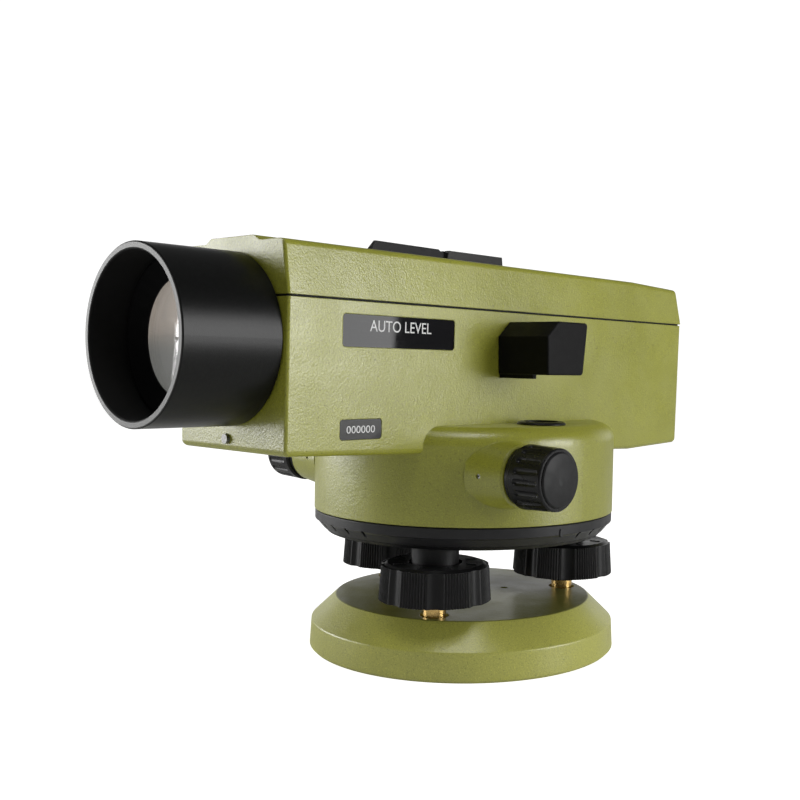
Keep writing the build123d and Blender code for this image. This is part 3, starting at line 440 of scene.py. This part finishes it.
def plate_face(node):
    """Centre, direction along, direction up and outward normal of a plate's outer face on the +X flank."""
    obj = NODES[node]
    turn = obj.matrix_world.to_3x3()
    outer = [p for p in obj.data.polygons if (turn @ p.normal).x > 0.9]
    normal = Vector()
    for polygon in outer:
        normal += (turn @ polygon.normal) * polygon.area
    normal.normalize()
    corners = [obj.matrix_world @ obj.data.vertices[i].co for p in outer for i in p.vertices]
    centre = Vector([(min(c[k] for c in corners) + max(c[k] for c in corners)) / 2 for k in range(3)])
    along = Vector((0.0, 1.0, 0.0))
    return centre, along, normal.cross(along), normal


def letters(name, words):
    """Flat mesh of the given words in the built-in font."""
    curve = bpy.data.curves.new(name, "FONT")
    curve.body = words
    curve.resolution_u = 4
    holder = bpy.data.objects.new(name + "_curve", curve)
    bpy.context.scene.collection.objects.link(holder)
    bpy.context.view_layer.update()
    mesh = bpy.data.meshes.new_from_object(holder.evaluated_get(bpy.context.evaluated_depsgraph_get()))
    bpy.data.objects.remove(holder)
    return mesh


def centred(value, values):
    """Place of a value in the span of all values, from -0.5 to 0.5."""
    return (value - min(values)) / (max(values) - min(values)) - 0.5


def printing(name, words, node, length, height, rise, material):
    """Raised white lettering on a plate, stretched to a length and height, rise above its middle."""
    mesh = letters(name, words)
    made = bmesh.new()
    made.from_mesh(mesh)
    bmesh.ops.remove_doubles(made, verts=made.verts, dist=1e-5)
    grown = bmesh.ops.extrude_face_region(made, geom=made.faces[:])
    top = {v for v in grown["geom"] if isinstance(v, bmesh.types.BMVert)}
    xs = [v.co.x for v in made.verts]
    ys = [v.co.y for v in made.verts]
    centre, along, up, out = plate_face(node)
    for v in made.verts:
        across = centred(v.co.x, xs) * length
        above = centred(v.co.y, ys) * height + rise
        v.co = centre + along * across + up * above + out * (PRINT_THICK if v in top else -PRINT_THICK)
    return finished(made, mesh, name, material)


def ink():
    """White printing ink, a little uneven."""
    g = Finish("white_ink")
    g.set({
        "Base Color": g.mix(g.noise(0.8 * MM, 3), (0.62, 0.62, 0.62), (0.80, 0.80, 0.79)),
        "Roughness": g.ramp(g.noise(0.6 * MM, 2), 0.3, 0.7, 0.4, 0.6),
    })
    return g.done()


def socket_reach(angle, sides):
    """Distance to the edge of a polygon with unit corners' radius, or 1 on a circle (no sides)."""
    if not sides:
        return 1.0
    step = math.tau / sides
    return math.cos(step / 2) / math.cos(angle % step - step / 2)


def set_screw(name, mouth, way, radius, material):
    """Grub screw seen end-on: a chamfered disc with a hexagon socket, facing along way."""
    rings = [(radius, -1.2 * MM, 0), (radius, -0.2 * MM, 0), (radius * 0.86, 0.0, 0),
             (radius * 0.52, 0.0, SOCKET_SIDES), (radius * 0.50, -0.9 * MM, SOCKET_SIDES)]
    made = bmesh.new()
    turn = way.to_track_quat("Z", "Y").to_matrix()
    angles = [math.tau * k / SCREW_SIDES for k in range(SCREW_SIDES)]
    loops = []
    for r, depth, sides in rings:
        reach = [r * socket_reach(a, sides) for a in angles]
        points = [Vector((math.cos(a) * d, math.sin(a) * d, depth)) for a, d in zip(angles, reach)]
        loops.append([made.verts.new(mouth + turn @ point) for point in points])
    for low, high in zip(loops, loops[1:]):
        for k in range(SCREW_SIDES):
            n = (k + 1) % SCREW_SIDES
            made.faces.new((low[k], low[n], high[n], high[k]))
    made.faces.new(loops[0][::-1])
    made.faces.new(loops[-1])
    return finished(made, bpy.data.meshes.new(name), name, material)


def add_details():
    """White lettering on both plates, and a grub screw in each worm boss."""
    white = ink()
    printing("plate_title", "AUTO LEVEL", "name_plate", 30 * MM, 4.0 * MM, 2.0 * MM, white)
    printing("serial_digits", "000000", "serial_plate", 13 * MM, 2.6 * MM, 0.0, white)
    screw = turned("set_screw_steel", (0.40, 0.40, 0.40), 1, (0, 0, 0), 1.0, 0.25)
    for side, label in ((1, "right"), (-1, "left")):
        mouth = Vector((side * SET_SCREW_X, WORM.y - SET_SCREW_OUT, WORM.z))
        set_screw("boss_set_screw_" + label, mouth, Vector((0, -1, 0)), SET_SCREW_R, screw)


# ---- studio ----
FLOOR_HALF = 12.0
AMBIENT = 0.1
BACKDROP = 0.9
BACKDROP_WAY = Vector((-0.65, 0.76, 0.0))


def studio_world():
    """White to the camera. To everything else it is dim above and bright low down at the back."""
    world = bpy.data.worlds.new("studio")
    world.use_nodes = True
    g = Graph(world.node_tree, "Generated")
    facing = g.vector_math("DOT_PRODUCT", g.place, tuple(BACKDROP_WAY))
    backdrop = g.math("MULTIPLY", g.ramp(facing, 0.1, 0.8), g.ramp(g.axes()[2], 0.55, 0.1))
    around = g.ramp(backdrop, 0.0, 1.0, AMBIENT, BACKDROP)
    g.put(g.nodes["Background"].inputs["Color"], (1.0, 1.0, 1.0))
    g.put(g.nodes["Background"].inputs["Strength"], g.camera_only(1.1, around))
    bpy.context.scene.world = world


def studio_floor():
    """A pale sweep. It glows a little for the camera only, so that it meets the white backdrop."""
    mesh = bpy.data.meshes.new("floor")
    corners = [(-FLOOR_HALF, -FLOOR_HALF), (FLOOR_HALF, -FLOOR_HALF), (FLOOR_HALF, FLOOR_HALF),
               (-FLOOR_HALF, FLOOR_HALF)]
    level = cad_box[0][2] - 0.05 * MM
    mesh.from_pydata([(x, y, level) for x, y in corners], [], [(0, 1, 2, 3)])
    floor = bpy.data.objects.new("floor", mesh)
    bpy.context.scene.collection.objects.link(floor)
    g = Finish("floor_paper")
    g.set({
        "Base Color": g.mix(g.noise(0.4, 3), (0.70, 0.70, 0.69), (0.74, 0.74, 0.73)),
        "Roughness": g.ramp(g.noise(5 * MM, 3), 0.3, 0.7, 0.8, 0.9),
        "Emission Color": (1.0, 1.0, 0.995),
        "Emission Strength": g.camera_only(0.9, 0.1),
    })
    mesh.materials.append(g.done())


TARGET = Vector((0.0, -0.01, 0.10))


def softbox(name, azimuth, elevation, distance, width, height, power):
    """A soft rectangular light, turned to face the instrument."""
    data = bpy.data.lights.new(name, "AREA")
    data.shape = "RECTANGLE"
    data.size = width
    data.size_y = height
    data.energy = power
    lamp = bpy.data.objects.new(name, data)
    bpy.context.scene.collection.objects.link(lamp)
    a, e = math.radians(azimuth), math.radians(elevation)
    toward = Vector((math.cos(a) * math.cos(e), math.sin(a) * math.cos(e), math.sin(e)))
    lamp.location = TARGET + toward * distance
    lamp.rotation_euler = (-toward).to_track_quat("-Z", "Y").to_euler()


def studio_lights():
    """One softbox for the flank, one for the front and the drum, one high for the upper edges."""
    softbox("right_box", 26, 8, 1.3, 0.64, 0.75, 11.4)
    softbox("left_box", -150, 6, 1.3, 1.0, 0.8, 15.5)
    softbox("front_box", -46, 68, 1.5, 0.6, 0.6, 5.5)


CAMERA_PLACE = Vector((0.3121, -0.3289, 0.1198))
CAMERA_FORWARD = Vector((-0.6518, 0.7569, -0.0469))
CAMERA_UP = Vector((-0.0465, 0.0218, 0.9987))
CAMERA_LENS = 47.33
CAMERA_SHIFT = (-0.146, 0.0176)


def studio_camera():
    """A slightly low three-quarter view of the objective end and the circular level's side."""
    data = bpy.data.cameras.new("camera")
    data.lens = CAMERA_LENS
    data.sensor_width = 36.0
    data.shift_x, data.shift_y = CAMERA_SHIFT
    data.clip_start = 0.01
    data.clip_end = 100.0
    camera = bpy.data.objects.new("camera", data)
    bpy.context.scene.collection.objects.link(camera)
    back = -CAMERA_FORWARD.normalized()
    right = CAMERA_UP.cross(back).normalized()
    up = back.cross(right)
    turn = Matrix((right, up, back)).transposed().to_4x4()
    camera.matrix_world = Matrix.Translation(CAMERA_PLACE) @ turn
    bpy.context.scene.camera = camera


finish_cad()
add_details()
studio_world()
studio_floor()
studio_lights()
studio_camera()
bpy.context.scene.view_settings.view_transform = "Standard"
